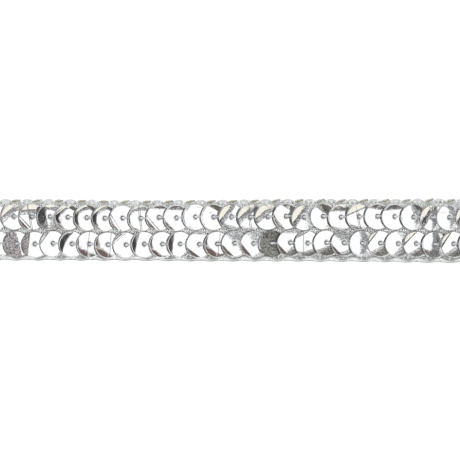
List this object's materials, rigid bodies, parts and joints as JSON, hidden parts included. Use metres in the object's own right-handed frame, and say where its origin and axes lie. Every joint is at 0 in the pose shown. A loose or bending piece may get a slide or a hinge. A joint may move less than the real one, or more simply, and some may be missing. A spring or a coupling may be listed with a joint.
{
  "type": "sequin trim",
  "caption": "Cut length of flat two-row sequin trim: overlapping silver cup sequins sewn along a narrow knitted net tape, lying flat.",
  "frame": {"origin": "middle of the trim's flat back, at the centre of its bounding box", "axes": "+X along the trim, in the direction in which each sequin's left edge lies over the sequin before it; +Y across it, towards the selvedge with the tan stitches; +Z out of the sequins' face"},
  "size_m": [0.1, 0.0128, 0.003],
  "materials": {
    "silver_sequin": "mirror-bright metallised polyester film, a little crinkled and scuffed",
    "net_tape": "sheer light grey knitted net",
    "grey_thread": "fine light grey sewing thread",
    "tan_thread": "fine tan overlock thread along the upper selvedge"
  },
  "bodies": {
    "root": {"backing_tape": "net_tape", "sequin_upper_01": "silver_sequin", "sequin_upper_02": "silver_sequin", "sequin_upper_03": "silver_sequin", "sequin_upper_04": "silver_sequin", "sequin_upper_05": "silver_sequin", "sequin_upper_06": "silver_sequin", "sequin_upper_07": "silver_sequin", "sequin_upper_08": "silver_sequin", "sequin_upper_09": "silver_sequin", "sequin_upper_10": "silver_sequin", "sequin_upper_11": "silver_sequin", "sequin_upper_12": "silver_sequin", "sequin_upper_13": "silver_sequin", "sequin_upper_14": "silver_sequin", "sequin_upper_15": "silver_sequin", "sequin_upper_16": "silver_sequin", "sequin_upper_17": "silver_sequin", "sequin_upper_18": "silver_sequin", "sequin_upper_19": "silver_sequin", "sequin_upper_20": "silver_sequin", "sequin_upper_21": "silver_sequin", "sequin_upper_22": "silver_sequin", "sequin_upper_23": "silver_sequin", "sequin_upper_24": "silver_sequin", "sequin_upper_25": "silver_sequin", "sequin_upper_26": "silver_sequin", "sequin_upper_27": "silver_sequin", "sequin_lower_01": "silver_sequin", "sequin_lower_02": "silver_sequin", "sequin_lower_03": "silver_sequin", "sequin_lower_04": "silver_sequin", "sequin_lower_05": "silver_sequin", "sequin_lower_06": "silver_sequin", "sequin_lower_07": "silver_sequin", "sequin_lower_08": "silver_sequin", "sequin_lower_09": "silver_sequin", "sequin_lower_10": "silver_sequin", "sequin_lower_11": "silver_sequin", "sequin_lower_12": "silver_sequin", "sequin_lower_13": "silver_sequin", "sequin_lower_14": "silver_sequin", "sequin_lower_15": "silver_sequin", "sequin_lower_16": "silver_sequin", "sequin_lower_17": "silver_sequin", "sequin_lower_18": "silver_sequin", "sequin_lower_19": "silver_sequin", "sequin_lower_20": "silver_sequin", "sequin_lower_21": "silver_sequin", "sequin_lower_22": "silver_sequin", "sequin_lower_23": "silver_sequin", "sequin_lower_24": "silver_sequin", "sequin_lower_25": "silver_sequin", "sequin_lower_26": "silver_sequin", "sequin_lower_27": "silver_sequin"}
  },
  "joints": []
}
